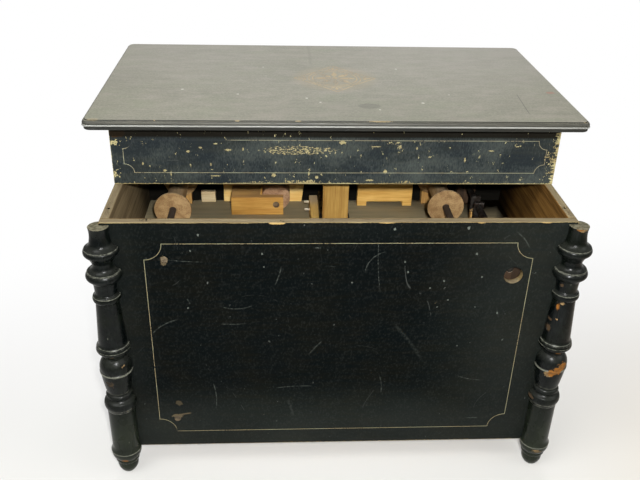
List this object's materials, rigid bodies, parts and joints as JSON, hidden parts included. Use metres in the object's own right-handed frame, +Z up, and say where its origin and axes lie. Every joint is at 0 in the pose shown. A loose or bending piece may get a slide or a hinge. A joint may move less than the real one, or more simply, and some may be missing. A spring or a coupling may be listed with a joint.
{
  "type": "reed organ",
  "caption": "Hand-cranked paper-roll reed organ: black wooden case on turned corner columns, gold line borders, and a loose moulded lid pushed back over its roll and bellows mechanism.",
  "frame": {"origin": "on the ground under the middle of the whole instrument's bounding box, lid pushed back as in the picture", "axes": "+X to the right seen from the front, +Y to the back, +Z up"},
  "size_m": [0.47, 0.3398, 0.3633],
  "materials": {
    "ebonised_wood": "worn black lacquer",
    "bare_wood": "unfinished, aged brown",
    "golden_wood": "unfinished, golden, dusty",
    "dusty_wood": "unfinished, grey with dust",
    "pale_wood": "unfinished, pale",
    "bellows_leather": "thin tan sheepskin",
    "steel_wire": "dull, aged",
    "dark_iron": "forged, dark",
    "aged_brass": "dull, aged"
  },
  "bodies": {
    "root": {"case_front": "ebonised_wood", "case_back": "ebonised_wood", "case_left_side": "ebonised_wood", "case_right_side": "ebonised_wood", "left_column": "ebonised_wood", "right_column": "ebonised_wood", "rear_foot_left": "ebonised_wood", "rear_foot_right": "ebonised_wood", "case_floor": "bare_wood", "front_plug_upper": "bare_wood", "front_plug_lower": "bare_wood", "pan_cleat_left": "bare_wood", "pan_cleat_right": "bare_wood", "bellows_board": "bare_wood", "bellows_cleat_front": "bare_wood", "bellows_cleat_back": "bare_wood", "chest_end_board": "bare_wood", "paper_guide": "golden_wood", "roller_bracket": "golden_wood", "back_rail_left": "golden_wood", "back_rail_right": "golden_wood", "crank_bearing_front": "golden_wood", "crank_bearing_back": "golden_wood", "takeup_bearing_front": "golden_wood", "takeup_bearing_back": "golden_wood", "feed_bearing_front": "golden_wood", "feed_bearing_back": "golden_wood", "pan_board": "dusty_wood", "reed_block": "pale_wood", "guide_peg_front": "pale_wood", "guide_peg_back": "pale_wood", "stop_block": "pale_wood", "feeder_leather_front": "bellows_leather", "feeder_leather_back": "bellows_leather", "reservoir_leather": "bellows_leather", "reservoir_spring": "steel_wire", "flap_pin": "steel_wire", "roller_screw": "steel_wire", "flap_bracket": "dark_iron", "tracker_bar": "aged_brass", "reed_plate": "aged_brass"},
    "lid": {"lid_front_rail": "ebonised_wood", "lid_back_rail": "ebonised_wood", "lid_left_rail": "ebonised_wood", "lid_right_rail": "ebonised_wood", "lid_top_board": "ebonised_wood"},
    "crank": {"crankshaft": "dark_iron", "crank_pinion": "aged_brass"},
    "rod_front": {"connecting_rod_front": "golden_wood"},
    "rod_back": {"connecting_rod_back": "golden_wood"},
    "takeup": {"takeup_spool": "pale_wood", "takeup_gear": "aged_brass"},
    "feed": {"feed_spool": "pale_wood"},
    "flap": {"pressure_flap": "golden_wood"},
    "roller": {"guide_roller": "pale_wood"},
    "feeder_front": {"feeder_board_front": "golden_wood"},
    "feeder_back": {"feeder_board_back": "golden_wood"},
    "reservoir": {"reservoir_board": "golden_wood"}
  },
  "joints": [
    {"name": "lid_slide", "type": "slide", "parent": "root", "child": "lid", "axis": [0, 1, 0], "range_m": [-0.079, 0]},
    {"name": "crank_turn", "type": "hinge", "parent": "root", "child": "crank", "pos_m": [0.163, -0.1391, 0.234], "axis": [0, 1, 0], "continuous": true},
    {"name": "rod_front_swing", "type": "hinge", "parent": "crank", "child": "rod_front", "pos_m": [0.163, -0.0871, 0.249], "axis": [0, 1, 0], "continuous": true},
    {"name": "rod_back_swing", "type": "hinge", "parent": "crank", "child": "rod_back", "pos_m": [0.163, 0.0009, 0.219], "axis": [0, 1, 0], "continuous": true},
    {"name": "takeup_turn", "type": "hinge", "parent": "root", "child": "takeup", "pos_m": [0.12198, -0.1391, 0.24302], "axis": [0, 1, 0], "continuous": true},
    {"name": "feed_turn", "type": "hinge", "parent": "root", "child": "feed", "pos_m": [-0.168, -0.1391, 0.24], "axis": [0, 1, 0], "continuous": true},
    {"name": "flap_hinge", "type": "hinge", "parent": "root", "child": "flap", "pos_m": [0.0029, -0.0278, 0.228], "axis": [1, 0, 0], "range_deg": [-90, 0]},
    {"name": "roller_turn", "type": "hinge", "parent": "root", "child": "roller", "pos_m": [-0.0597, 0.0244, 0.2258], "axis": [0, 1, 0], "continuous": true},
    {"name": "feeder_front_hinge", "type": "hinge", "parent": "root", "child": "feeder_front", "pos_m": [-0.04, -0.0871, 0.134], "axis": [0, 1, 0], "range_deg": [0, 8.35], "deforming": ["feeder_leather_front"]},
    {"name": "feeder_back_hinge", "type": "hinge", "parent": "root", "child": "feeder_back", "pos_m": [-0.04, 0.0089, 0.134], "axis": [0, 1, 0], "range_deg": [-8.35, 0], "deforming": ["feeder_leather_back"]},
    {"name": "reservoir_hinge", "type": "hinge", "parent": "root", "child": "reservoir", "pos_m": [-0.05, -0.0401, 0.134], "axis": [0, 1, 0], "range_deg": [0, 14], "stiffness_Nm_per_rad": 2, "springref_deg": -11.46, "deforming": ["reservoir_leather", "reservoir_spring"]}
  ],
  "couplings": [
    {"joint": "rod_front_swing", "follows": "crank_turn", "ratio": -1},
    {"joint": "rod_back_swing", "follows": "crank_turn", "ratio": -1},
    {"joint": "takeup_turn", "follows": "crank_turn", "ratio": -0.33333}
  ]
}
